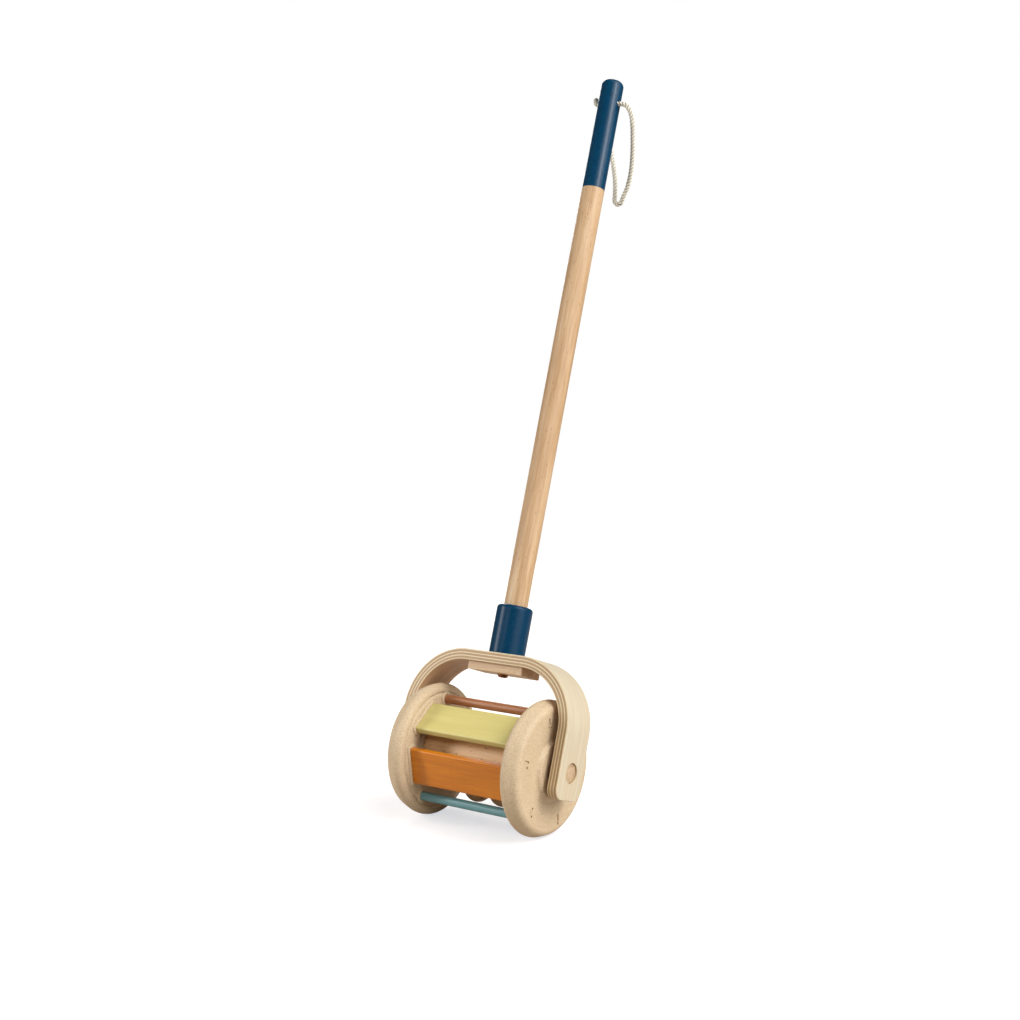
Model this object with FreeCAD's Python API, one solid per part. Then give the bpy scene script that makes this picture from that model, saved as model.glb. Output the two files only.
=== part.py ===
import FreeCAD, Part
import math
import os

# Child's push roller: a slatted drum between two discs turns on a wooden axle, held by a
# bent-plywood yoke at the foot of a long pole with a rope loop at its top.
# Frame: +X along the axle, +Z up, origin on the floor midway between the two discs, directly
# under the axle. The pole leans back towards +Y, as it does when the toy is pushed along -Y.
# Millimetres.

Vector = FreeCAD.Vector
os.makedirs("parts", exist_ok=True)

# ---- Driving dimensions ----
lean = 18.65                    # lean of the pole and yoke from upright, degrees
playGap = 0.3                   # side play between turning and still faces

discRadius = 50.0               # tread radius, so also the height of the axle
discInnerX = 44.0               # land that the slats enter
plateauX = 59.0                 # broad flat outer face
plateauRadius = 46.6            # where the drafted tread would meet that face
treadCrownX = 50.0              # full radius here; the tread tapers outward from it
shoulderRounding = 5.0
rimInset = 0.4                  # rim's inner face behind the land
rimRounding = 4.6
grooveOuter = 44.2              # shallow groove between rim and land
grooveInner = 43.0
grooveDepth = 1.7
landOuter = 41.6
landInner = 29.6
recessOuter = 28.0              # recess between the land and the ring round the core
recessInner = 25.6
recessDepth = 1.9
ringOuter = 24.8
ringInset = 0.2
socketDepth = 6.5
socketGap = 0.2                 # all round each slat and dowel in its socket
lipWidth = 2.4                  # raised lip round each socket
lipHeight = 1.1
lipRooting = 3.0                # how far a lip runs into the disc
lipRounding = 0.95
markRadius = 37.0               # small moulded ticks on the outer face
markLength = 5.6
markWidth = 2.2
markRounding = 1.0              # of the tick's corners
markDepth = 0.9
markCount = 6
dotRadius = 1.2                 # dimple below each tick
dotDrop = 4.4
markFirst = 21.5                # angle of the first tick; the others follow evenly

axleRadius = 7.5
axleBore = 7.6                  # running fit of the drum and washers on the axle
axleRecess = 1.2                # axle end below the yoke leg's outer face
axleChamfer = 0.5
bossOuterX = 61.6               # face of the raised boss on each disc
bossRadius = 20.4
bossRoot = 23.0
bossRounding = 1.6
bossFillet = 2.0
washerRadius = 12.5
washerRounding = 0.6

coreRadius = 22.0
coreSeat = 1.5                  # depth that the core enters each disc
coreGap = 0.1

slatWidth = 27.0
slatThickness = 5.5
slatFaceRadius = 36.7           # axle to the slat's outer face
slatRounding = 1.1
dowelRadius = 3.35
dowelRow = 38.4                 # axle to dowel centre
beadRadius = 11.0
beadHalfWidth = 10.35
beadCentres = [-20.4, 3.0, 26.4]    # places along the rod; the beads slide on it
beadRow = 34.0                  # axle to bead rod
beadRodRadius = 3.0
beadBore = 3.1                  # running fit on the rod

# Stations round the drum, in degrees from the front (-Y) upward
slatStations = {"yellow_slat": 56.0, "orange_slat": -8.0, "blue_slat": -166.0}
dowelStations = {"terracotta_dowel": 101.0, "teal_dowel": -53.0, "plain_dowel": 150.0}
beadStation = -119.0

yokeWidth = 32.0
plyThickness = 8.4
legInnerX = 65.8
yokeTop = 77.5                  # axle to the yoke's flat top, along the pole
shoulderRadius = 49.0           # outer radius of each shoulder
legBelowAxle = 20.0
legCornerRadius = 8.0
yokeEdge = 0.7                  # rounding of the plywood's arrises

blockLength = 49.0
blockWidth = 25.0
blockHeight = 6.2
blockEdge = 0.6

poleRadius = 9.0
poleTop = 544.4                 # axle to the tip of the pole
poleTipRounding = 4.2
collarRadius = 13.75
collarTop = 115.0
collarRounding = 2.8
collarFootRounding = 0.4

boltRadius = 2.5
boltHole = 2.8
boltReach = 89.5                # axle to the bolt's tip
boltHeadRadius = 4.0
boltHeadHeight = 2.4
boltHeadRounding = 1.8
socketAcross = 2.5              # hexagon socket, across flats
socketSunk = 1.7
insertRadius = 4.0
insertLength = 14.0
insertEndGap = 1.0              # empty bore beyond the insert

ropeRadius = 2.0
ropeHole = 2.3
ropeHeight = 525.0              # axle to the rope hole, along the pole

# Rope route: out of the hole at +X, down in a slack loop behind the pole, back in at -X.
ropeRoute = [
    (4.5, 167.9, 547.4),
    (11.4, 167.9, 547.4),
    (16.0, 168.3, 545.8),
    (19.2, 169.2, 540.6),
    (20.6, 170.2, 532.4),
    (20.3, 171.4, 520.0),
    (19.6, 172.4, 506.0),
    (17.8, 173.2, 493.0),
    (14.2, 174.4, 482.6),
    (9.1, 175.4, 474.6),
    (7.0, 175.9, 469.8),
    (2.9, 176.5, 469.0),
    (-0.2, 177.2, 471.8),
    (-0.1, 178.4, 477.8),
    (-1.2, 180.4, 487.6),
    (-4.2, 182.8, 500.0),
    (-8.6, 185.6, 513.0),
    (-13.0, 187.2, 526.0),
    (-16.4, 186.6, 537.5),
    (-17.6, 182.8, 547.2),
    (-16.8, 177.6, 552.4),
    (-15.4, 172.8, 553.2),
    (-13.6, 169.6, 550.7),
    (-11.3, 167.9, 547.4),
    (-4.5, 167.9, 547.4),
]

# ---- Derived sizes ----
legOuterX = legInnerX + plyThickness
yokeUnder = yokeTop - plyThickness
blockUnder = yokeUnder - blockHeight
headUnder = blockUnder - boltHeadHeight
insertEnd = yokeTop + insertLength
washerInnerX = bossOuterX + playGap


# ---- Helpers ----
def save(name, shape):
    if not shape.isValid():
        print("not valid:", name)
    shape.exportStep(os.path.join("parts", name + ".step"))
    print(name, "solids", len(shape.Solids), "volume", round(shape.Volume, 1))


def roundedWire(corners, place, closed=True):
    """Corners are (u, v, radius): straight sides joined by a tangent arc at each corner."""
    count = len(corners)
    entries = []
    exits = []
    middles = []
    for i in range(count):
        u, v, radius = corners[i]
        before = corners[i - 1]
        after = corners[(i + 1) % count]
        here = Vector(u, v, 0)
        back = (Vector(before[0], before[1], 0) - here).normalize()
        ahead = (Vector(after[0], after[1], 0) - here).normalize()
        if radius <= 0:
            entries.append(here)
            exits.append(here)
            middles.append(None)
            continue
        half = back.getAngle(ahead) / 2
        reach = radius / math.tan(half)
        bisector = (back + ahead).normalize()
        centre = here + bisector * (radius / math.sin(half))
        entries.append(here + back * reach)
        exits.append(here + ahead * reach)
        middles.append(centre - bisector * radius)
    edges = []
    for i in range(count):
        if middles[i] is not None:
            arc = Part.Arc(place(entries[i]), place(middles[i]), place(exits[i]))
            edges.append(arc.toShape())
        start = exits[i]
        end = entries[(i + 1) % count]
        if (end - start).Length > 1e-6:
            edges.append(Part.LineSegment(place(start), place(end)).toShape())
    return Part.Wire(edges)


def turned(corners):
    """Solid of revolution about the X axis from (x, radius, rounding) corners."""
    wire = roundedWire(corners, lambda p: Vector(p.x, 0, p.y))
    return Part.Face(wire).revolve(Vector(0, 0, 0), Vector(1, 0, 0), 360)


def rodX(radius, start, end, y=0.0, z=0.0):
    return Part.makeCylinder(radius, end - start, Vector(start, y, z), Vector(1, 0, 0))


def rodZ(radius, start, end):
    return Part.makeCylinder(radius, end - start, Vector(0, 0, start), Vector(0, 0, 1))


def boxAt(x, y, z):
    """Box between (low, high) pairs."""
    return Part.makeBox(x[1] - x[0], y[1] - y[0], z[1] - z[0], Vector(x[0], y[0], z[0]))


def onStation(shape, angle):
    """Turns a shape built at the front (-Y) of the drum up to its station."""
    shape = shape.copy()
    shape.rotate(Vector(0, 0, 0), Vector(1, 0, 0), -angle)
    return shape


def ringEdges(shape, low, high):
    """Circular edges of an upright shape between two heights."""
    return [e for e in shape.Edges if e.Closed and e.BoundBox.ZMin > low and e.BoundBox.ZMax < high]


def inDrum(shape):
    shape = shape.copy()
    shape.translate(Vector(0, 0, discRadius))
    return shape


def inHandle(shape):
    """Leans a shape built upright on the axle back with the pole."""
    shape = shape.copy()
    shape.rotate(Vector(0, 0, 0), Vector(1, 0, 0), -lean)
    shape.translate(Vector(0, 0, discRadius))
    return shape


def mirrored(shape):
    return shape.mirror(Vector(0, 0, 0), Vector(1, 0, 0))


def slatSection(grow, start, end, rounding):
    """Slat-shaped bar along X at the front station, larger by grow all round."""
    low = -slatFaceRadius - grow
    high = -slatFaceRadius + slatThickness + grow
    half = slatWidth / 2 + grow
    corners = [(low, -half, rounding), (high, -half, rounding), (high, half, rounding), (low, half, rounding)]
    wire = roundedWire(corners, lambda p: Vector(start, p.x, p.y))
    return Part.Face(wire).extrude(Vector(end - start, 0, 0))


# ---- Drum ----
def makeDisc():
    """Right-hand disc, moulded from wood composite, with its sockets and lips."""
    profile = [
        (discInnerX + coreSeat, axleBore, 0),
        (bossOuterX, axleBore, 0.5),
        (bossOuterX, bossRadius, bossRounding),
        (plateauX, bossRoot, bossFillet),
        (plateauX, plateauRadius, shoulderRounding),
        (treadCrownX, discRadius, shoulderRounding),
        (discInnerX + rimInset, discRadius, rimRounding),
        (discInnerX + rimInset, grooveOuter, 0.7),
        (discInnerX + grooveDepth, grooveInner, 0.5),
        (discInnerX, landOuter, 0.8),
        (discInnerX, landInner, 1.0),
        (discInnerX + recessDepth, recessOuter, 1.2),
        (discInnerX + recessDepth, recessInner, 0.4),
        (discInnerX + ringInset, ringOuter, 0.4),
        (discInnerX + ringInset, coreRadius + coreGap, 0),
        (discInnerX + coreSeat, coreRadius + coreGap, 0),
    ]
    disc = turned(profile)
    lipFace = discInnerX - lipHeight
    lipRoot = discInnerX + lipRooting
    floor = discInnerX + socketDepth
    for angle in slatStations.values():
        lip = slatSection(lipWidth, lipFace, lipRoot, slatRounding + lipWidth)
        rim = [e for e in lip.Edges if abs(e.BoundBox.XMax - lipFace) < 1e-6]
        lip = lip.makeFillet(lipRounding, rim)
        disc = disc.fuse(onStation(lip, angle))
    rods = [(dowelRow, dowelRadius, a) for a in dowelStations.values()]
    rods.append((beadRow, beadRodRadius, beadStation))
    for row, radius, angle in rods:
        lip = rodX(radius + lipWidth, lipFace, lipRoot, -row)
        rim = [e for e in lip.Edges if e.Closed and abs(e.BoundBox.XMax - lipFace) < 1e-6]
        lip = lip.makeFillet(lipRounding, rim)
        disc = disc.fuse(onStation(lip, angle))
    for angle in slatStations.values():
        disc = disc.cut(onStation(slatSection(socketGap, lipFace - 1, floor, slatRounding), angle))
    for row, radius, angle in rods:
        disc = disc.cut(onStation(rodX(radius + socketGap, lipFace - 1, floor, -row), angle))
    radial = (-markRadius - markLength / 2, -markRadius + markLength / 2)
    tick = boxAt((plateauX - markDepth, bossOuterX), radial, (-markWidth / 2, markWidth / 2))
    corners = [e for e in tick.Edges if e.BoundBox.XLength > markDepth]
    tick = tick.makeFillet(markRounding, corners)
    for i in range(markCount):
        angle = markFirst + i * 360 / markCount
        y = -markRadius * math.cos(math.radians(angle))
        z = markRadius * math.sin(math.radians(angle)) - dotDrop
        disc = disc.cut(onStation(tick, angle))
        disc = disc.cut(rodX(dotRadius, plateauX - markDepth, bossOuterX, y, z))
    return disc


def makeSlat(angle):
    end = discInnerX + socketDepth
    return onStation(slatSection(0, -end, end, slatRounding), angle)


def makeRod(row, radius, angle):
    end = discInnerX + socketDepth
    return onStation(rodX(radius, -end, end, -row), angle)


def makeBead(centre):
    """Ball with a flat at each end of its bore, threaded on the bead rod."""
    flatRadius = math.sqrt(beadRadius ** 2 - beadHalfWidth ** 2)
    boreLeft = Vector(-beadHalfWidth, 0, beadBore)
    boreRight = Vector(beadHalfWidth, 0, beadBore)
    flatLeft = Vector(-beadHalfWidth, 0, flatRadius)
    flatRight = Vector(beadHalfWidth, 0, flatRadius)
    edges = [
        Part.LineSegment(boreLeft, flatLeft).toShape(),
        Part.Arc(flatLeft, Vector(0, 0, beadRadius), flatRight).toShape(),
        Part.LineSegment(flatRight, boreRight).toShape(),
        Part.LineSegment(boreRight, boreLeft).toShape(),
    ]
    bead = Part.Face(Part.Wire(edges)).revolve(Vector(0, 0, 0), Vector(1, 0, 0), 360)
    bead.translate(Vector(centre, -beadRow, 0))
    return onStation(bead, beadStation)


rightDisc = makeDisc()
save("right_disc", inDrum(rightDisc))
save("left_disc", inDrum(mirrored(rightDisc)))

coreEnd = discInnerX + coreSeat
core = rodX(coreRadius, -coreEnd, coreEnd).cut(rodX(axleBore, -coreEnd - 1, coreEnd + 1))
save("core", inDrum(core))

for name, angle in slatStations.items():
    save(name, inDrum(makeSlat(angle)))
for name, angle in dowelStations.items():
    save(name, inDrum(makeRod(dowelRow, dowelRadius, angle)))
save("bead_rod", inDrum(makeRod(beadRow, beadRodRadius, beadStation)))
for number, centre in enumerate(beadCentres, 1):
    save("bead_%d" % number, inDrum(makeBead(centre)))


# ---- Yoke, axle and washers ----
def makeYoke():
    """Plywood strip bent over the drum: flat top, round shoulders, straight legs."""
    innerRadius = shoulderRadius - plyThickness
    corners = [
        (-legOuterX, -legBelowAxle, 0),
        (-legOuterX, yokeTop, shoulderRadius),
        (legOuterX, yokeTop, shoulderRadius),
        (legOuterX, -legBelowAxle, 0),
        (legInnerX, -legBelowAxle, 0),
        (legInnerX, yokeUnder, innerRadius),
        (-legInnerX, yokeUnder, innerRadius),
        (-legInnerX, -legBelowAxle, 0),
    ]
    wire = roundedWire(corners, lambda p: Vector(p.x, -yokeWidth / 2, p.y))
    yoke = Part.Face(wire).extrude(Vector(0, yokeWidth, 0))
    ends = []
    for edge in yoke.Edges:
        box = edge.BoundBox
        if box.ZMax < -legBelowAxle + 0.01 and box.YLength < 0.01:
            ends.append(edge)
    yoke = yoke.makeFillet(legCornerRadius, ends)
    rims = [e for e in yoke.Edges if e.BoundBox.YLength < 0.01 and e.BoundBox.ZMax > 0]
    feet = [e for e in yoke.Edges if e.BoundBox.XLength < 0.01 and e.BoundBox.ZMax < 0]
    yoke = yoke.makeFillet(yokeEdge, rims + feet)
    yoke = yoke.cut(rodX(axleRadius, -legOuterX - 1, legOuterX + 1))
    return yoke.cut(rodZ(boltHole, yokeUnder - 1, yokeTop + 1))


save("yoke", inHandle(makeYoke()))

axle = rodX(axleRadius, -legOuterX + axleRecess, legOuterX - axleRecess)
axle = axle.makeChamfer(axleChamfer, [e for e in axle.Edges if e.Closed])
save("axle", inHandle(axle))

washer = turned([
    (washerInnerX, axleBore, 0),
    (legInnerX, axleBore, 0),
    (legInnerX, washerRadius, washerRounding / 2),
    (washerInnerX, washerRadius, washerRounding),
])
save("right_washer", inHandle(washer))
save("left_washer", inHandle(mirrored(washer)))


# ---- Block, bolt and insert that hold the pole ----
block = boxAt((-blockLength / 2, blockLength / 2), (-blockWidth / 2, blockWidth / 2), (blockUnder, yokeUnder))
block = block.makeFillet(blockEdge, [e for e in block.Edges if e.BoundBox.ZMin < yokeUnder - 0.01])
block = block.cut(rodZ(boltHole, blockUnder - 1, yokeUnder + 1))
save("clamp_block", inHandle(block))

head = rodZ(boltHeadRadius, headUnder, blockUnder)
head = head.makeFillet(boltHeadRounding, ringEdges(head, headUnder - 1, blockUnder - 1))
bolt = head.fuse(rodZ(boltRadius, blockUnder, boltReach)).removeSplitter()
cornerRadius = socketAcross / math.sqrt(3)
hexagon = []
for i in range(7):
    turn = math.radians(60 * i)
    hexagon.append(Vector(cornerRadius * math.cos(turn), cornerRadius * math.sin(turn), headUnder - 1))
keyHole = Part.Face(Part.makePolygon(hexagon)).extrude(Vector(0, 0, socketSunk + 1))
save("pole_bolt", inHandle(bolt.cut(keyHole)))

insert = rodZ(insertRadius, yokeTop, insertEnd).cut(rodZ(boltRadius, yokeTop - 1, insertEnd + 1))
save("insert_nut", inHandle(insert))


# ---- Pole and collar ----
pole = rodZ(poleRadius, yokeTop, poleTop)
pole = pole.makeFillet(poleTipRounding, ringEdges(pole, poleTop - 1, poleTop + 1))
pole = pole.cut(rodX(ropeHole, -poleRadius - 1, poleRadius + 1, 0, ropeHeight))
pole = pole.cut(rodZ(insertRadius, yokeTop - 1, insertEnd + insertEndGap))
save("pole", inHandle(pole))

collar = rodZ(collarRadius, yokeTop, collarTop)
collar = collar.makeFillet(collarRounding, ringEdges(collar, collarTop - 1, collarTop + 1))
collar = collar.makeFillet(collarFootRounding, ringEdges(collar, yokeTop - 1, yokeTop + 1))
collar = collar.cut(rodZ(poleRadius, yokeTop - 1, collarTop + 1))
save("collar", inHandle(collar))


# ---- Rope loop ----
def tubeAlong(points, radius):
    """Straight runs joined by the largest tangent arcs that the runs allow."""
    route = [Vector(*p) for p in points]
    edges = []
    bends = []
    start = route[0]
    for i in range(1, len(route) - 1):
        back = route[i - 1] - route[i]
        ahead = route[i + 1] - route[i]
        shorter = min(back.Length, ahead.Length)
        turn = math.pi - back.getAngle(ahead)
        reach = 0.45 * shorter
        bend = reach / math.tan(turn / 2)
        bends.append(bend)
        back.normalize()
        ahead.normalize()
        bisector = (back + ahead).normalize()
        centre = route[i] + bisector * (bend / math.cos(turn / 2))
        entry = route[i] + back * reach
        leave = route[i] + ahead * reach
        edges.append(Part.LineSegment(start, entry).toShape())
        edges.append(Part.Arc(entry, centre - bisector * bend, leave).toShape())
        start = leave
    edges.append(Part.LineSegment(start, route[-1]).toShape())
    path = Part.Wire(edges)
    circle = Part.Circle(route[0], (route[1] - route[0]).normalize(), radius)
    section = Part.Wire([circle.toShape()])
    tube = path.makePipeShell([section], True, False, 2)
    expected = math.pi * radius ** 2 * path.Length
    print("rope length", round(path.Length, 1), "bend radii", [round(b, 1) for b in bends])
    print("rope volume", round(tube.Volume, 1), "section times length", round(expected, 1))
    return tube


save("rope_loop", tubeAlong(ropeRoute, ropeRadius))
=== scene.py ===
import bpy
import math
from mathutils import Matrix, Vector


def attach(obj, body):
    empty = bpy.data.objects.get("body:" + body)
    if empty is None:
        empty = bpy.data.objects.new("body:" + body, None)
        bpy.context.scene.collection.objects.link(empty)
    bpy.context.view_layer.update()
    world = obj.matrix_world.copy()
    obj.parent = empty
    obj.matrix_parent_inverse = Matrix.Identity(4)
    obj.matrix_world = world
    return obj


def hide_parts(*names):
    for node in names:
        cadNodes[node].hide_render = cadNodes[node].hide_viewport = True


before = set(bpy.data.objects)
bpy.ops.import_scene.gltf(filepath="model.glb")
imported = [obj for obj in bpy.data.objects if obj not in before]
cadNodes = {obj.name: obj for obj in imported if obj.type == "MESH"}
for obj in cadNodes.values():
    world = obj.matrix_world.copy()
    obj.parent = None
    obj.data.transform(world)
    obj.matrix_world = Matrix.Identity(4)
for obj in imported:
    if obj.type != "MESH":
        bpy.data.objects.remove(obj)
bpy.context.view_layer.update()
scene = bpy.context.scene
bpy.ops.object.select_all(action="DESELECT")
print("frame loaded,", len(cadNodes), "pieces")


def linearColour(hexColour):
    # the sRGB curve, undone
    parts = []
    for i in (0, 2, 4):
        value = int(hexColour[i:i + 2], 16) / 255
        parts.append(value / 12.92 if value <= 0.04045 else ((value + 0.055) / 1.055) ** 2.4)
    return (parts[0], parts[1], parts[2], 1.0)


def toneStops(places, *colours):
    return [(place, linearColour(colour)) for place, colour in zip(places, colours)]


def perMetre(width):
    # a pattern's scale, from the width of its features in mm
    return 1000 / width


def fromRange(pair):
    return {"From Min": pair[0], "From Max": pair[1]}


def toRange(pair):
    return {"To Min": pair[0], "To Max": pair[1]}


def addNode(tree, kind, settings=None, links=None):
    node = tree.nodes.new("ShaderNode" + kind)
    for name, value in (settings or {}).items():
        if name == "stops":  # a ramp's places and colours
            ramp = node.color_ramp
            while len(ramp.elements) < len(value):
                ramp.elements.new(1.0)
            for element, (place, colour) in zip(ramp.elements, value):
                element.position = place
                element.color = colour
        elif isinstance(name, int) or name in node.inputs:
            node.inputs[name].default_value = value
        else:
            setattr(node, name, value)
    for name, socket in (links or {}).items():
        tree.links.new(socket, node.inputs[name])
    return node


def newMaterial(name):
    material = bpy.data.materials.new(name)
    material.use_nodes = True
    material.node_tree.nodes.clear()
    return material, material.node_tree


def finishMaterial(material, tree, shader):
    addNode(tree, "OutputMaterial", {}, {"Surface": shader.outputs[0]})
    return material


# a long lens, a little above the drum and to the right of it
view = {
    "place": (0.6544, -0.9087, 0.3532),
    "tilt": 84.009,
    "turn": 34.902,
    "lens": 54.248,
    "sensor": 36.0,
    "near": 0.01,
    "far": 100,
}


def makeCamera():
    data = bpy.data.cameras.new("studio_camera")
    data.lens = view["lens"]
    data.sensor_width = view["sensor"]
    data.clip_start = view["near"]
    data.clip_end = view["far"]
    camera = bpy.data.objects.new("studio_camera", data)
    camera.location = view["place"]
    camera.rotation_euler = (math.radians(view["tilt"]), 0, math.radians(view["turn"]))
    scene.collection.objects.link(camera)
    scene.camera = camera


makeCamera()
print("camera placed")


# three-strand cotton loop through the top of the pole
rope = {
    "route": [  # out of the hole at +X, down behind the pole, back in at -X
        (0.0045, 0.1679, 0.5474),
        (0.0114, 0.1679, 0.5474),
        (0.0160, 0.1683, 0.5458),
        (0.0192, 0.1692, 0.5406),
        (0.0206, 0.1702, 0.5324),
        (0.0203, 0.1714, 0.5200),
        (0.0196, 0.1724, 0.5060),
        (0.0178, 0.1732, 0.4930),
        (0.0142, 0.1744, 0.4826),
        (0.0091, 0.1754, 0.4746),
        (0.0070, 0.1759, 0.4698),
        (0.0029, 0.1765, 0.4690),
        (-0.0002, 0.1772, 0.4718),
        (-0.0001, 0.1784, 0.4778),
        (-0.0012, 0.1804, 0.4876),
        (-0.0042, 0.1828, 0.5000),
        (-0.0086, 0.1856, 0.5130),
        (-0.0130, 0.1872, 0.5260),
        (-0.0164, 0.1866, 0.5375),
        (-0.0176, 0.1828, 0.5472),
        (-0.0168, 0.1776, 0.5524),
        (-0.0154, 0.1728, 0.5532),
        (-0.0136, 0.1696, 0.5507),
        (-0.0113, 0.1679, 0.5474),
        (-0.0045, 0.1679, 0.5474),
    ],
    "curveOrder": 3,
    "curveSteps": 16,  # straight pieces between two route points
    "diameter": 0.004,
    "length": 0.2057,
    "strands": 3,
    "pitch": 0.0081,  # one full turn of a strand, so its marks lie 2.7 mm apart
    "strandRadius": 0.00094,
    "step": 0.0004,
    "sides": 12,
}


def ropeLine(points):
    curve = bpy.data.curves.new("rope_route", "CURVE")
    curve.dimensions = "3D"
    curve.resolution_u = rope["curveSteps"]
    spline = curve.splines.new("NURBS")
    spline.points.add(len(points) - 1)
    for point, place in zip(spline.points, points):
        point.co = (*place, 1.0)
    spline.order_u = rope["curveOrder"]
    spline.use_endpoint_u = True
    holder = bpy.data.objects.new("rope_route", curve)
    scene.collection.objects.link(holder)
    mesh = bpy.data.meshes.new_from_object(holder)
    line = [vertex.co.copy() for vertex in mesh.vertices]
    bpy.data.objects.remove(holder)
    bpy.data.meshes.remove(mesh)
    return line


def evenSteps(line, step):
    reach = [0.0]
    for before, after in zip(line, line[1:]):
        reach.append(reach[-1] + (after - before).length)
    count = round(reach[-1] / step)
    points = []
    k = 0
    for i in range(count + 1):
        target = reach[-1] * i / count
        while k < len(line) - 2 and reach[k + 1] < target:
            k += 1
        share = (target - reach[k]) / max(reach[k + 1] - reach[k], 1e-9)  # two points may coincide
        points.append(line[k].lerp(line[k + 1], min(share, 1.0)))
    return points, reach[-1]


def strandCentres(points, gap):
    swing = rope["diameter"] / 2 - rope["strandRadius"]
    across = Vector((0, 0, 1))
    centres = [[] for k in range(rope["strands"])]
    for i, point in enumerate(points):
        ahead = points[min(i + 1, len(points) - 1)] - points[max(i - 1, 0)]
        ahead.normalize()
        across = (across - ahead * across.dot(ahead)).normalized()  # carried along without twisting
        side = ahead.cross(across)
        for k in range(rope["strands"]):
            turn = 2 * math.pi * (i * gap / rope["pitch"] + k / rope["strands"])
            outward = across * math.cos(turn) + side * math.sin(turn)
            centres[k].append((point + outward * swing, outward))
    return centres


def makeRope():
    points, total = evenSteps(ropeLine(rope["route"]), rope["step"])
    gap = total / (len(points) - 1)
    sides = rope["sides"]
    vertices = []
    faces = []
    marks = []  # for each face, round the strand as a share and along it in mm
    for strand in strandCentres(points, gap):
        base = len(vertices)
        for i, (centre, outward) in enumerate(strand):
            ahead = strand[min(i + 1, len(strand) - 1)][0] - strand[max(i - 1, 0)][0]
            ahead.normalize()
            out = (outward - ahead * outward.dot(ahead)).normalized()
            side = ahead.cross(out)
            for j in range(sides):
                turn = 2 * math.pi * j / sides
                spoke = out * math.cos(turn) + side * math.sin(turn)
                vertices.append(centre + spoke * rope["strandRadius"])
        for i in range(len(strand) - 1):
            low = i * gap * 1000
            high = (i + 1) * gap * 1000
            for j in range(sides):
                a = base + i * sides + j
                b = base + i * sides + (j + 1) % sides
                faces.append((a, b, b + sides, a + sides))
                left = j / sides
                right = (j + 1) / sides
                marks.append([(left, low), (right, low), (right, high), (left, high)])
        faces.append(tuple(base + j for j in reversed(range(sides))))
        marks.append([(0, 0)] * sides)
        last = base + (len(strand) - 1) * sides
        faces.append(tuple(last + j for j in range(sides)))
        marks.append([(0, 0)] * sides)
    mesh = bpy.data.meshes.new("cotton_rope")
    mesh.from_pydata(vertices, [], faces)
    layer = mesh.uv_layers.new(name="strand")
    for polygon, corners in zip(mesh.polygons, marks):
        polygon.use_smooth = len(corners) == 4  # the two ends stay flat
        for loop, corner in zip(polygon.loop_indices, corners):
            layer.data[loop].uv = corner
    cottonRope = bpy.data.objects.new("cotton_rope", mesh)
    scene.collection.objects.link(cottonRope)
    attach(cottonRope, "handle")
    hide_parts("rope_loop")
    print("rope twisted,", round(total * 1000, 1), "mm long")
    return cottonRope


cottonRope = makeRope()


# patterns are laid from the axle: straight up for the drum, along the pole for the handle
handleLean = math.radians(18.65)
axleHeight = 0.05


def leanedPlace(tree):
    # x across, y front to back, z along the pole from the axle
    place = addNode(tree, "TexCoord")
    return addNode(tree, "Mapping", {
        "Rotation": (handleLean, 0, 0),
        "Location": (0, axleHeight * math.sin(handleLean), -axleHeight * math.cos(handleLean)),
    }, {"Vector": place.outputs["Object"]})


def drumPlace(tree):
    place = addNode(tree, "TexCoord")
    return addNode(tree, "Mapping", {"Location": (0, 0, -axleHeight)}, {"Vector": place.outputs["Object"]})


# what all the woods share; widths are in mm, and "along" is the axis that the grain follows
woodLook = {
    "toneSpread": (0.28, 0.52, 0.74),  # where dark, middle and light wood lie in the noise
    "streakDetail": 4.0, "streakRoughness": 0.6,
    "bandDetail": 2.0, "bandWander": 0.4,
    "poreSize": (0.06, 0.26),  # from fully dark to clear, as a share of a cell
    "poreFade": 0.1,
    "glossier": 0.06, "duller": 0.08,  # either side of a wood's roughness
    "reliefDepth": 0.0002,
    "index": 1.5,
}


def grainScale(width, stretch, along):
    across = perMetre(width)
    return [across / stretch if axis == along else across for axis in range(3)]


def woodGrain(tree, place, wood):
    # fine streaks over broad bands
    fineScale = grainScale(wood["fineWidth"], wood["fineStretch"], wood["along"])
    broadScale = grainScale(wood["broadWidth"], wood["broadStretch"], wood["along"])
    fine = addNode(tree, "Mapping", {"Scale": fineScale}, {"Vector": place.outputs[0]})
    broad = addNode(tree, "Mapping", {"Scale": broadScale}, {"Vector": place.outputs[0]})
    streaks = addNode(tree, "TexNoise", {
        "Scale": 1.0, "Detail": woodLook["streakDetail"], "Roughness": woodLook["streakRoughness"],
    }, {"Vector": fine.outputs[0]})
    bands = addNode(tree, "TexNoise", {
        "Scale": 1.0, "Detail": woodLook["bandDetail"], "Distortion": woodLook["bandWander"],
    }, {"Vector": broad.outputs[0]})
    grain = addNode(tree, "Mix", {"data_type": "FLOAT", 0: wood["streakShare"]},
                    {2: bands.outputs["Fac"], 3: streaks.outputs["Fac"]})
    return grain, streaks


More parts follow.
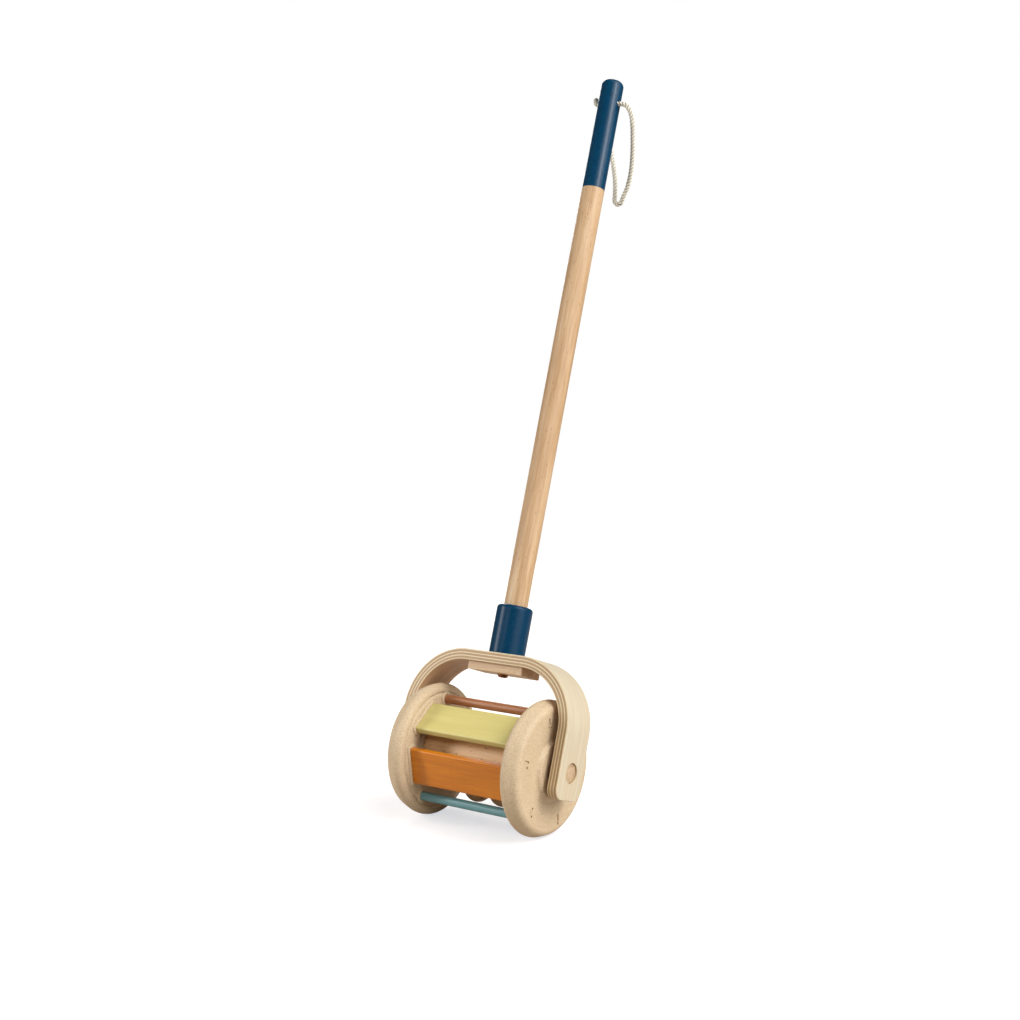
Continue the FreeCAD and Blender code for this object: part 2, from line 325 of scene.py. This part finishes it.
def woodPores(tree, place, wood):
    # short dark dashes along the grain, wider than real pores so that they show
    scale = grainScale(wood["poreSpacing"], wood["poreStretch"], wood["along"])
    cells = addNode(tree, "Mapping", {"Scale": scale}, {"Vector": place.outputs[0]})
    dots = addNode(tree, "TexVoronoi", {"Scale": 1.0}, {"Vector": cells.outputs[0]})
    dash = addNode(tree, "MapRange", {**fromRange(woodLook["poreSize"]), **toRange((1.0, 0.0))},
                   {"Value": dots.outputs["Distance"]})
    chosen = addNode(tree, "SeparateColor", {}, {0: dots.outputs["Color"]})
    without = 1 - wood["poreShare"]
    some = addNode(tree, "MapRange", fromRange((without, without + woodLook["poreFade"])),
                   {"Value": chosen.outputs[0]})
    return addNode(tree, "Math", {"operation": "MULTIPLY"}, {0: dash.outputs[0], 1: some.outputs[0]})


def woodTones(tree, place, wood):
    grain, streaks = woodGrain(tree, place, wood)
    pores = woodPores(tree, place, wood)
    stops = toneStops(woodLook["toneSpread"], wood["dark"], wood["middle"], wood["light"])
    tones = addNode(tree, "ValToRGB", {"stops": stops}, {"Fac": grain.outputs[0]})
    flecked = addNode(tree, "Mix", {"data_type": "RGBA", 7: linearColour(wood["pore"])},
                      {0: pores.outputs[0], 6: tones.outputs["Color"]})
    return flecked, grain, streaks


def makeWood(name, wood, layOut=drumPlace):
    material, tree = newMaterial(name)
    flecked, grain, streaks = woodTones(tree, layOut(tree), wood)
    gloss = (wood["roughness"] - woodLook["glossier"], wood["roughness"] + woodLook["duller"])
    rough = addNode(tree, "MapRange", toRange(gloss), {"Value": streaks.outputs["Fac"]})
    relief = addNode(tree, "Bump", {"Strength": wood["relief"], "Distance": woodLook["reliefDepth"]},
                     {"Height": grain.outputs[0]})
    shader = addNode(tree, "BsdfPrincipled", {"IOR": woodLook["index"]}, {
        "Base Color": flecked.outputs[2], "Roughness": rough.outputs[0], "Normal": relief.outputs[0]})
    return finishMaterial(material, tree, shader)


finishes = {}

# rubberwood dowel under satin lacquer, fine and straight in the grain, its top dipped in dark blue
# paint that is smoother than the wood and slightly mottled
pole = {
    "along": 2, "fineWidth": 0.9, "fineStretch": 28, "broadWidth": 5.0, "broadStretch": 16,
    "streakShare": 0.45, "poreSpacing": 1.1, "poreStretch": 5, "poreShare": 0.3,
    "dark": "9F7B56", "middle": "BD9D79", "light": "D3BC9C", "pore": "855D3A",
    "roughness": (0.36, 0.5), "relief": 0.12, "shine": 0.22,
    "paintFrom": 0.452,  # along the pole from the axle
    "paintEdge": 0.0002,
    "paintDark": "00304C", "paintLight": "003B58", "paintSpread": (0.3, 0.75),
    "paintRoughness": (0.26, 0.34), "mottleWidth": 2.381, "mottleDetail": 3.0,
}


def makePoleFinish():
    material, tree = newMaterial("lacquered_rubberwood_and_blue_dip")
    where = leanedPlace(tree)
    flecked, grain, streaks = woodTones(tree, where, pole)
    mottle = addNode(tree, "TexNoise", {
        "Scale": perMetre(pole["mottleWidth"]), "Detail": pole["mottleDetail"],
    }, {"Vector": where.outputs[0]})
    stops = toneStops(pole["paintSpread"], pole["paintDark"], pole["paintLight"])
    paint = addNode(tree, "ValToRGB", {"stops": stops}, {"Fac": mottle.outputs["Fac"]})
    parts = addNode(tree, "SeparateXYZ", {}, {0: where.outputs[0]})
    paintLine = (pole["paintFrom"] - pole["paintEdge"], pole["paintFrom"] + pole["paintEdge"])
    painted = addNode(tree, "MapRange", fromRange(paintLine), {"Value": parts.outputs["Z"]})
    colour = addNode(tree, "Mix", {"data_type": "RGBA"},
                     {0: painted.outputs[0], 6: flecked.outputs[2], 7: paint.outputs["Color"]})
    woodRough = addNode(tree, "MapRange", toRange(pole["roughness"]), {"Value": streaks.outputs["Fac"]})
    paintRough = addNode(tree, "MapRange", toRange(pole["paintRoughness"]), {"Value": mottle.outputs["Fac"]})
    rough = addNode(tree, "Mix", {"data_type": "FLOAT"},
                    {0: painted.outputs[0], 2: woodRough.outputs[0], 3: paintRough.outputs[0]})
    relief = addNode(tree, "Bump", {"Strength": pole["relief"], "Distance": woodLook["reliefDepth"]},
                     {"Height": grain.outputs[0]})
    shader = addNode(tree, "BsdfPrincipled", {
        "IOR": woodLook["index"], "Specular IOR Level": pole["shine"],
    }, {"Base Color": colour.outputs[2], "Roughness": rough.outputs[0], "Normal": relief.outputs[0]})
    return finishMaterial(material, tree, shader)


finishes["pole"] = makePoleFinish()

# turned wood under satin enamel, faintly uneven from the brush and from the wood below it
collar = {
    "dark": "002B44", "light": "003857", "toneSpread": (0.3, 0.75),
    "mottleWidth": 1.3, "mottleDetail": 3.0,
    "roughness": (0.24, 0.38), "relief": 0.06, "reliefDepth": 0.0003,
    "index": 1.5, "shine": 0.16,
}
# the same enamel on a slat
blueSlat = dict(collar)


def makeEnamel(name, enamel):
    material, tree = newMaterial(name)
    where = leanedPlace(tree)
    mottle = addNode(tree, "TexNoise", {
        "Scale": perMetre(enamel["mottleWidth"]), "Detail": enamel["mottleDetail"],
    }, {"Vector": where.outputs[0]})
    stops = toneStops(enamel["toneSpread"], enamel["dark"], enamel["light"])
    paint = addNode(tree, "ValToRGB", {"stops": stops}, {"Fac": mottle.outputs["Fac"]})
    rough = addNode(tree, "MapRange", toRange(enamel["roughness"]), {"Value": mottle.outputs["Fac"]})
    relief = addNode(tree, "Bump", {"Strength": enamel["relief"], "Distance": enamel["reliefDepth"]},
                     {"Height": mottle.outputs["Fac"]})
    shader = addNode(tree, "BsdfPrincipled", {
        "IOR": enamel["index"], "Specular IOR Level": enamel["shine"],
    }, {"Base Color": paint.outputs["Color"], "Roughness": rough.outputs[0], "Normal": relief.outputs[0]})
    return finishMaterial(material, tree, shader)


finishes["collar"] = makeEnamel("dark_blue_enamel", collar)
finishes["blue_slat"] = makeEnamel("dark_blue_slat_enamel", blueSlat)

# birch plywood bent over two shoulders: a pale face veneer outside and a warmer one inside, and
# edges where seven plies turn pale and dark with dark glue between them, drawn wide enough to show
yoke = {
    "bendX": 0.0252, "bendZ": 0.0285,  # centre of each shoulder
    "wall": (0.0406, 0.0490),  # its inner and outer radius
    "plies": 7, "glueHalf": 0.024,  # the glue as a share of the wall
    "palePly": "CDBC98", "darkPly": "A5835C", "glue": "86653F",
    "endGrainWidth": 0.7143, "endGrainDetail": 3.0, "endGrainShare": 0.35,
    "figureLength": 71.43, "figureWidth": 1.923, "figureDetail": 4.0, "figureWander": 0.6,
    "veneerDark": "BFB298", "veneerLight": "CBC1AA", "veneerPink": "C3AE94",
    "veneerSpread": (0.3, 0.5, 0.72),
    "innerDark": "B48C68", "innerLight": "CBA986", "innerSpread": (0.3, 0.72),
    "faceFrom": (0.475, 0.494),  # from the wall's middle, as a share of it
    "roughness": (0.42, 0.56), "relief": 0.12, "reliefDepth": 0.0002, "index": 1.5,
}


def makeYokePly():
    material, tree = newMaterial("bent_birch_plywood")
    where = leanedPlace(tree)
    # depth through the wall, from 0 inside to 1 outside, round both shoulders and down the legs
    parts = addNode(tree, "SeparateXYZ", {}, {0: where.outputs[0]})
    side = addNode(tree, "Math", {"operation": "ABSOLUTE"}, {0: parts.outputs["X"]})
    overX = addNode(tree, "Math", {"operation": "SUBTRACT", 1: yoke["bendX"]}, {0: side.outputs[0]})
    overZ = addNode(tree, "Math", {"operation": "SUBTRACT", 1: yoke["bendZ"]}, {0: parts.outputs["Z"]})
    keptX = addNode(tree, "Math", {"operation": "MAXIMUM", 1: 0.0}, {0: overX.outputs[0]})
    keptZ = addNode(tree, "Math", {"operation": "MAXIMUM", 1: 0.0}, {0: overZ.outputs[0]})
    flat = addNode(tree, "CombineXYZ", {}, {"X": keptX.outputs[0], "Y": keptZ.outputs[0]})
    deep = addNode(tree, "VectorMath", {"operation": "LENGTH"}, {0: flat.outputs[0]})
    depth = addNode(tree, "MapRange", fromRange(yoke["wall"]), {"Value": deep.outputs["Value"]})

    pale = linearColour(yoke["palePly"])
    dark = linearColour(yoke["darkPly"])
    glue = linearColour(yoke["glue"])
    stops = [(0.0, pale)]
    for i in range(1, yoke["plies"]):
        before, after = (pale, dark) if i % 2 else (dark, pale)
        joint = i / yoke["plies"]
        stops += [(joint - yoke["glueHalf"], before), (joint, glue), (joint + yoke["glueHalf"], after)]
    stops.append((1.0, pale))
    plies = addNode(tree, "ValToRGB", {"stops": stops}, {"Fac": depth.outputs[0]})
    endGrain = addNode(tree, "TexNoise", {
        "Scale": perMetre(yoke["endGrainWidth"]), "Detail": yoke["endGrainDetail"],
    }, {"Vector": where.outputs[0]})
    edge = addNode(tree, "Mix", {
        "data_type": "RGBA", "blend_type": "SOFT_LIGHT", 0: yoke["endGrainShare"],
    }, {6: plies.outputs["Color"], 7: endGrain.outputs["Color"]})

    lengthways, crossways = perMetre(yoke["figureLength"]), perMetre(yoke["figureWidth"])
    stretch = addNode(tree, "Mapping", {"Scale": (lengthways, crossways, lengthways)},
                      {"Vector": where.outputs[0]})
    figure = addNode(tree, "TexNoise", {
        "Scale": 1.0, "Detail": yoke["figureDetail"], "Distortion": yoke["figureWander"],
    }, {"Vector": stretch.outputs[0]})
    outerStops = toneStops(yoke["veneerSpread"], yoke["veneerPink"], yoke["veneerDark"], yoke["veneerLight"])
    innerStops = toneStops(yoke["innerSpread"], yoke["innerDark"], yoke["innerLight"])
    outer = addNode(tree, "ValToRGB", {"stops": outerStops}, {"Fac": figure.outputs["Fac"]})
    inner = addNode(tree, "ValToRGB", {"stops": innerStops}, {"Fac": figure.outputs["Fac"]})
    outerHalf = addNode(tree, "Math", {"operation": "GREATER_THAN", 1: 0.5}, {0: depth.outputs[0]})
    faces = addNode(tree, "Mix", {"data_type": "RGBA"},
                    {0: outerHalf.outputs[0], 6: inner.outputs["Color"], 7: outer.outputs["Color"]})

    fromMiddle = addNode(tree, "Math", {"operation": "SUBTRACT", 1: 0.5}, {0: depth.outputs[0]})
    away = addNode(tree, "Math", {"operation": "ABSOLUTE"}, {0: fromMiddle.outputs[0]})
    face = addNode(tree, "MapRange", fromRange(yoke["faceFrom"]), {"Value": away.outputs[0]})
    colour = addNode(tree, "Mix", {"data_type": "RGBA"},
                     {0: face.outputs[0], 6: edge.outputs[2], 7: faces.outputs[2]})
    rough = addNode(tree, "MapRange", toRange(yoke["roughness"]), {"Value": figure.outputs["Fac"]})
    relief = addNode(tree, "Bump", {"Strength": yoke["relief"], "Distance": yoke["reliefDepth"]},
                     {"Height": figure.outputs["Fac"]})
    shader = addNode(tree, "BsdfPrincipled", {"IOR": yoke["index"]}, {
        "Base Color": colour.outputs[2], "Roughness": rough.outputs[0], "Normal": relief.outputs[0]})
    return finishMaterial(material, tree, shader)


finishes["yoke"] = makeYokePly()

# wood flour pressed in resin: matt and even, with fine darker specks
disc = {
    "dark": "AD9678", "middle": "C1AB8B", "light": "CFBD9E", "toneSpread": (0.3, 0.5, 0.7),
    "flourWidth": 0.6667, "flourDetail": 4.0, "flourRoughness": 0.65,
    "cloudWidth": 14.286, "cloudDetail": 2.0, "cloudShare": 0.15,
    "speck": "936D4B", "speckSpacing": 1.5, "speckSize": (0.12, 0.32), "speckDepth": 0.55,
    "roughness": (0.52, 0.68), "relief": 0.1, "reliefDepth": 0.0002, "index": 1.48,
}


def makeDiscComposite():
    material, tree = newMaterial("pressed_wood_composite")
    where = drumPlace(tree)
    flour = addNode(tree, "TexNoise", {
        "Scale": perMetre(disc["flourWidth"]), "Detail": disc["flourDetail"],
        "Roughness": disc["flourRoughness"],
    }, {"Vector": where.outputs[0]})
    clouds = addNode(tree, "TexNoise", {
        "Scale": perMetre(disc["cloudWidth"]), "Detail": disc["cloudDetail"],
    }, {"Vector": where.outputs[0]})
    mixed = addNode(tree, "Mix", {"data_type": "FLOAT", 0: disc["cloudShare"]},
                    {2: flour.outputs["Fac"], 3: clouds.outputs["Fac"]})
    stops = toneStops(disc["toneSpread"], disc["dark"], disc["middle"], disc["light"])
    tones = addNode(tree, "ValToRGB", {"stops": stops}, {"Fac": mixed.outputs[0]})
    grit = addNode(tree, "TexVoronoi", {"Scale": perMetre(disc["speckSpacing"])},
                   {"Vector": where.outputs[0]})
    speck = addNode(tree, "MapRange", {**fromRange(disc["speckSize"]), **toRange((disc["speckDepth"], 0.0))},
                    {"Value": grit.outputs["Distance"]})
    colour = addNode(tree, "Mix", {"data_type": "RGBA", 7: linearColour(disc["speck"])},
                     {0: speck.outputs[0], 6: tones.outputs["Color"]})
    rough = addNode(tree, "MapRange", toRange(disc["roughness"]), {"Value": flour.outputs["Fac"]})
    relief = addNode(tree, "Bump", {"Strength": disc["relief"], "Distance": disc["reliefDepth"]},
                     {"Height": flour.outputs["Fac"]})
    shader = addNode(tree, "BsdfPrincipled", {"IOR": disc["index"]}, {
        "Base Color": colour.outputs[2], "Roughness": rough.outputs[0], "Normal": relief.outputs[0]})
    return finishMaterial(material, tree, shader)


finishes["right_disc"] = makeDiscComposite()

# open-pored rubberwood under lacquer: warm, with clear dark dashes; set much paler than the same wood
# elsewhere, painted light for the shade inside the drum
core = {
    "along": 0, "fineWidth": 1.0, "fineStretch": 22, "broadWidth": 7.0, "broadStretch": 10,
    "streakShare": 0.5, "poreSpacing": 1.7, "poreStretch": 3.6, "poreShare": 0.5,
    "roughness": 0.46, "relief": 0.15,
    "dark": "CC9860", "middle": "EABC86", "light": "F4CF9E", "pore": "6E421C",
}
finishes["core"] = makeWood("lacquered_rubberwood_core", core)

# wood under an opaque yellow stain: nearly plain, with a faint grain
yellowSlat = {
    "along": 0, "fineWidth": 0.8, "fineStretch": 30, "broadWidth": 8.0, "broadStretch": 10,
    "streakShare": 0.4, "poreSpacing": 1.4, "poreStretch": 4, "poreShare": 0.1,
    "roughness": 0.4, "relief": 0.06,
    "dark": "BFB26C", "middle": "C5B975", "light": "CCC180", "pore": "B5A868",
}
finishes["yellow_slat"] = makeWood("yellow_stained_wood", yellowSlat)

# wood under a clear orange stain: long darker lines, and more gloss than the other woods
orangeSlat = {
    "along": 0, "fineWidth": 0.7, "fineStretch": 34, "broadWidth": 5.0, "broadStretch": 14,
    "streakShare": 0.6, "poreSpacing": 1.2, "poreStretch": 5, "poreShare": 0.2,
    "roughness": 0.36, "relief": 0.08,
    "dark": "AE6008", "middle": "C4720C", "light": "D4861A", "pore": "924C06",
}
finishes["orange_slat"] = makeWood("orange_stained_wood", orangeSlat)

# wood under a thin teal stain: the grain shows as paler streaks
tealDowel = {
    "along": 0, "fineWidth": 0.8, "fineStretch": 26, "broadWidth": 4.0, "broadStretch": 12,
    "streakShare": 0.5, "poreSpacing": 1.3, "poreStretch": 5, "poreShare": 0.15,
    "roughness": 0.38, "relief": 0.06,
    "dark": "568286", "middle": "679599", "light": "80ADAF", "pore": "466E70",
}
finishes["teal_dowel"] = makeWood("teal_stained_wood", tealDowel)

# wood under a thin red-brown stain: the grain shows as paler streaks
terracottaDowel = {
    "along": 0, "fineWidth": 0.8, "fineStretch": 26, "broadWidth": 4.0, "broadStretch": 12,
    "streakShare": 0.5, "poreSpacing": 1.3, "poreStretch": 5, "poreShare": 0.2,
    "roughness": 0.38, "relief": 0.06,
    "dark": "8E5936", "middle": "A36A45", "light": "BA845A", "pore": "724020",
}
finishes["terracotta_dowel"] = makeWood("terracotta_stained_wood", terracottaDowel)

# rubberwood under clear lacquer: light brown, with a soft gloss
plainWood = {
    "along": 0, "fineWidth": 0.9, "fineStretch": 24, "broadWidth": 5.0, "broadStretch": 12,
    "streakShare": 0.5, "poreSpacing": 1.2, "poreStretch": 4, "poreShare": 0.3,
    "roughness": 0.44, "relief": 0.1,
    "dark": "B08B60", "middle": "C5A276", "light": "D6B98F", "pore": "8F6A42",
}
finishes["plain_dowel"] = makeWood("lacquered_rubberwood_rods", plainWood)

# beech under the same lacquer: paler, with the grain less marked
blockWood = dict(plainWood, dark="B4916A", middle="CFB089", light="E2C8A2", pore="86603A")
finishes["clamp_block"] = makeWood("lacquered_beech_block", blockWood, leanedPlace)

# the same wood for the axle, greyer and darker: partly as a cut end looks, partly painted shade for its end
# sunk in the yoke's hole
axleWood = dict(plainWood, dark="967A5C", middle="B69C7C", light="CDB797", pore="76583A")
finishes["axle"] = makeWood("lacquered_rubberwood_axle", axleWood)

# spacer coloured dark brown as painted shade of the gap between disc and yoke leg; duller than the lacquered
# wood beside it
spacerWood = {
    "along": 1, "fineWidth": 0.9, "fineStretch": 12, "broadWidth": 4.0, "broadStretch": 6,
    "streakShare": 0.5, "poreSpacing": 1.2, "poreStretch": 3, "poreShare": 0.3,
    "roughness": 0.5, "relief": 0.1,
    "dark": "4A2E1A", "middle": "5D3B22", "light": "70492C", "pore": "351F10",
}
finishes["right_washer"] = makeWood("spacer_in_painted_gap_shade", spacerWood, leanedPlace)

# bronzed steel bolt and plain brass nut: a warm metal gloss, uneven from light handling wear
metalLook = {
    "wearWidth": 1.1111, "wearDetail": 4.0, "toneSpread": (0.3, 0.7),
    "glossier": 0.08, "duller": 0.12,
}
bolt = {"dark": "6E452C", "light": "94613F", "roughness": 0.36}
insert = {"dark": "9C7B3A", "light": "B8964E", "roughness": 0.34}


def makeMetal(name, metal):
    material, tree = newMaterial(name)
    where = leanedPlace(tree)
    wear = addNode(tree, "TexNoise", {
        "Scale": perMetre(metalLook["wearWidth"]), "Detail": metalLook["wearDetail"],
    }, {"Vector": where.outputs[0]})
    stops = toneStops(metalLook["toneSpread"], metal["dark"], metal["light"])
    tones = addNode(tree, "ValToRGB", {"stops": stops}, {"Fac": wear.outputs["Fac"]})
    gloss = (metal["roughness"] - metalLook["glossier"], metal["roughness"] + metalLook["duller"])
    rough = addNode(tree, "MapRange", toRange(gloss), {"Value": wear.outputs["Fac"]})
    shader = addNode(tree, "BsdfPrincipled", {"Metallic": 1.0}, {
        "Base Color": tones.outputs["Color"], "Roughness": rough.outputs[0]})
    return finishMaterial(material, tree, shader)


finishes["pole_bolt"] = makeMetal("bronzed_steel", bolt)
finishes["insert_nut"] = makeMetal("plain_brass", insert)

# soft undyed cotton: matt, with fine yarns that slant across each strand, and painted shade between strands
cotton = {
    "dark": "C0B9A6", "light": "E2DED0", "toneSpread": (0.1, 0.65),
    "yarns": 9, "yarnLay": 0.55,  # yarns round a strand, and how many pass in a mm along it
    "fuzzWidth": 0.285714, "fuzzDetail": 3.0, "fuzzShare": 0.4,
    # the colour and mask of the painted shade on each strand's inward side, between strands
    "groove": "5E5546", "grooveFrom": (0.68, 0.05),  # cosine of the turn from the rope's outside
    "roughness": (0.8, 0.95), "relief": 0.5, "reliefDepth": 0.0001,
    "index": 1.45, "sheen": 0.3, "sheenRoughness": 0.5,
}


def makeRopeCotton():
    material, tree = newMaterial("undyed_twisted_cotton")
    strand = addNode(tree, "UVMap", {"uv_map": "strand"})
    parts = addNode(tree, "SeparateXYZ", {}, {0: strand.outputs[0]})
    around = addNode(tree, "Math", {"operation": "MULTIPLY", 1: 2 * math.pi * cotton["yarns"]},
                     {0: parts.outputs["X"]})
    forward = addNode(tree, "Math", {"operation": "MULTIPLY", 1: 2 * math.pi * cotton["yarnLay"]},
                      {0: parts.outputs["Y"]})
    phase = addNode(tree, "Math", {"operation": "ADD"}, {0: around.outputs[0], 1: forward.outputs[0]})
    wave = addNode(tree, "Math", {"operation": "SINE"}, {0: phase.outputs[0]})
    height = addNode(tree, "MapRange", fromRange((-1.0, 1.0)), {"Value": wave.outputs[0]})
    place = addNode(tree, "TexCoord")
    fuzz = addNode(tree, "TexNoise", {
        "Scale": perMetre(cotton["fuzzWidth"]), "Detail": cotton["fuzzDetail"],
    }, {"Vector": place.outputs["Object"]})
    mixed = addNode(tree, "Mix", {"data_type": "FLOAT", 0: cotton["fuzzShare"]},
                    {2: height.outputs[0], 3: fuzz.outputs["Fac"]})
    # the yarn tone follows the relief's wave, darker in the hollows between yarns: painted shade, mixed with
    # random fuzz tone
    stops = toneStops(cotton["toneSpread"], cotton["dark"], cotton["light"])
    tones = addNode(tree, "ValToRGB", {"stops": stops}, {"Fac": mixed.outputs[0]})
    # darken each strand's side that faces the other strands: painted shade between strands
    turned = addNode(tree, "Math", {"operation": "MULTIPLY", 1: 2 * math.pi}, {0: parts.outputs["X"]})
    outward = addNode(tree, "Math", {"operation": "COSINE"}, {0: turned.outputs[0]})
    inside = addNode(tree, "MapRange", fromRange(cotton["grooveFrom"]), {"Value": outward.outputs[0]})
    shaded = addNode(tree, "Mix", {"data_type": "RGBA", 7: linearColour(cotton["groove"])},
                     {0: inside.outputs[0], 6: tones.outputs["Color"]})
    rough = addNode(tree, "MapRange", toRange(cotton["roughness"]), {"Value": fuzz.outputs["Fac"]})
    relief = addNode(tree, "Bump", {"Strength": cotton["relief"], "Distance": cotton["reliefDepth"]},
                     {"Height": mixed.outputs[0]})
    shader = addNode(tree, "BsdfPrincipled", {
        "IOR": cotton["index"], "Sheen Weight": cotton["sheen"], "Sheen Roughness": cotton["sheenRoughness"],
    }, {"Base Color": shaded.outputs[2], "Roughness": rough.outputs[0], "Normal": relief.outputs[0]})
    return finishMaterial(material, tree, shader)


shared = {
    "left_disc": "right_disc", "left_washer": "right_washer", "bead_rod": "plain_dowel",
    "bead_1": "plain_dowel", "bead_2": "plain_dowel", "bead_3": "plain_dowel",
}
for name, node in cadNodes.items():
    if name == "rope_loop":
        continue
    for materialSlot in node.material_slots:
        materialSlot.material = finishes[shared.get(name, name)]
cottonRope.data.materials.append(makeRopeCotton())
print("finishes on", len(cadNodes), "pieces")


# a white floor, a broad soft key from the right and four small softboxes
studio = {
    "backdrop": 1.0,  # what shows behind
    "fill": 0.13,  # light from all round
    "fillColour": "FFF6EE",
    "tableWidth": 2.4,
    "sweepDark": "BAB1A9", "sweepLight": "BEB5AD",
    "sweepGlow": 0.66, "glowColour": "F6FAFF",  # as seen directly, not as light on the pieces
    "sweepCloud": 166.667, "cloudDetail": 2.0,  # its unevenness, in mm
    "sweepRoughness": 0.9, "sweepShine": 0.1,
    "sunStrength": 3.1,
    "sunAngle": 70.0, "sunTurn": 92.0, "sunHeight": 38.0,  # degrees: its spread, and where it stands
    "highBox": {"place": (1.05, 0.0, 1.08), "size": (0.35, 0.7), "power": 10.0, "aim": (0, 0.16, 0.52)},
    "leftStrip": {"place": (-0.886, -0.70, 0.50), "size": (0.18, 0.7), "power": 9.0, "aim": (0, 0.03, 0.15)},
    "backBox": {"place": (-0.9, 1.2, 0.9), "size": (0.7, 0.7), "power": 9.0, "aim": (0, 0.08, 0.2)},
    "frontBox": {"place": (-0.15, -1.1, 0.80), "size": (0.5, 0.3), "power": 1.9, "aim": (0, 0, 0.06)},
}


def makeFloor():
    # matt white sheet with its own glow, so that the shadow on it stays light
    bpy.ops.mesh.primitive_plane_add(size=studio["tableWidth"])
    floor = bpy.context.object
    floor.name = "studio_floor"
    material, tree = newMaterial("matt_white_floor")
    place = addNode(tree, "TexCoord")
    mottle = addNode(tree, "TexNoise", {
        "Scale": perMetre(studio["sweepCloud"]), "Detail": studio["cloudDetail"],
    }, {"Vector": place.outputs["Object"]})
    stops = toneStops((0.0, 1.0), studio["sweepDark"], studio["sweepLight"])
    tones = addNode(tree, "ValToRGB", {"stops": stops}, {"Fac": mottle.outputs["Fac"]})
    ray = addNode(tree, "LightPath")
    glow = addNode(tree, "Math", {"operation": "MULTIPLY", 1: studio["sweepGlow"]},
                   {0: ray.outputs["Is Camera Ray"]})
    shader = addNode(tree, "BsdfPrincipled", {
        "Roughness": studio["sweepRoughness"], "Specular IOR Level": studio["sweepShine"],
        "Emission Color": linearColour(studio["glowColour"]),
    }, {"Base Color": tones.outputs["Color"], "Emission Strength": glow.outputs[0]})
    floor.data.materials.append(finishMaterial(material, tree, shader))


def makeSoftBox(name, box):
    data = bpy.data.lights.new(name, "AREA")
    data.shape = "RECTANGLE"
    data.size, data.size_y = box["size"]
    data.energy = box["power"]
    lamp = bpy.data.objects.new(name, data)
    lamp.location = box["place"]
    lamp.rotation_euler = (Vector(box["aim"]) - Vector(box["place"])).to_track_quat("-Z", "Y").to_euler()
    scene.collection.objects.link(lamp)


def makeKeyLight():
    data = bpy.data.lights.new("key_light", "SUN")
    data.energy = studio["sunStrength"]
    data.angle = math.radians(studio["sunAngle"])
    sun = bpy.data.objects.new("key_light", data)
    turn = math.radians(studio["sunTurn"])
    height = math.radians(studio["sunHeight"])
    toward = Vector((math.sin(turn) * math.cos(height), -math.cos(turn) * math.cos(height), math.sin(height)))
    sun.rotation_euler = (-toward).to_track_quat("-Z", "Y").to_euler()
    scene.collection.objects.link(sun)


def makeWorld():
    # lights the pieces less than it shows
    world = bpy.data.worlds.new("studio_air")
    scene.world = world
    world.use_nodes = True
    tree = world.node_tree
    tree.nodes.clear()
    fill = addNode(tree, "Background", {
        "Color": linearColour(studio["fillColour"]), "Strength": studio["fill"]})
    shown = addNode(tree, "Background", {"Color": (1, 1, 1, 1), "Strength": studio["backdrop"]})
    ray = addNode(tree, "LightPath")
    both = addNode(tree, "MixShader", {}, {
        0: ray.outputs["Is Camera Ray"], 1: fill.outputs[0], 2: shown.outputs[0]})
    addNode(tree, "OutputWorld", {}, {"Surface": both.outputs[0]})


makeFloor()
makeKeyLight()
makeSoftBox("high_softbox", studio["highBox"])
makeSoftBox("left_strip", studio["leftStrip"])
makeSoftBox("front_box", studio["frontBox"])
makeSoftBox("back_box", studio["backBox"])
makeWorld()
scene.view_settings.view_transform = "Standard"
scene.view_settings.look = "None"
print("studio lit")
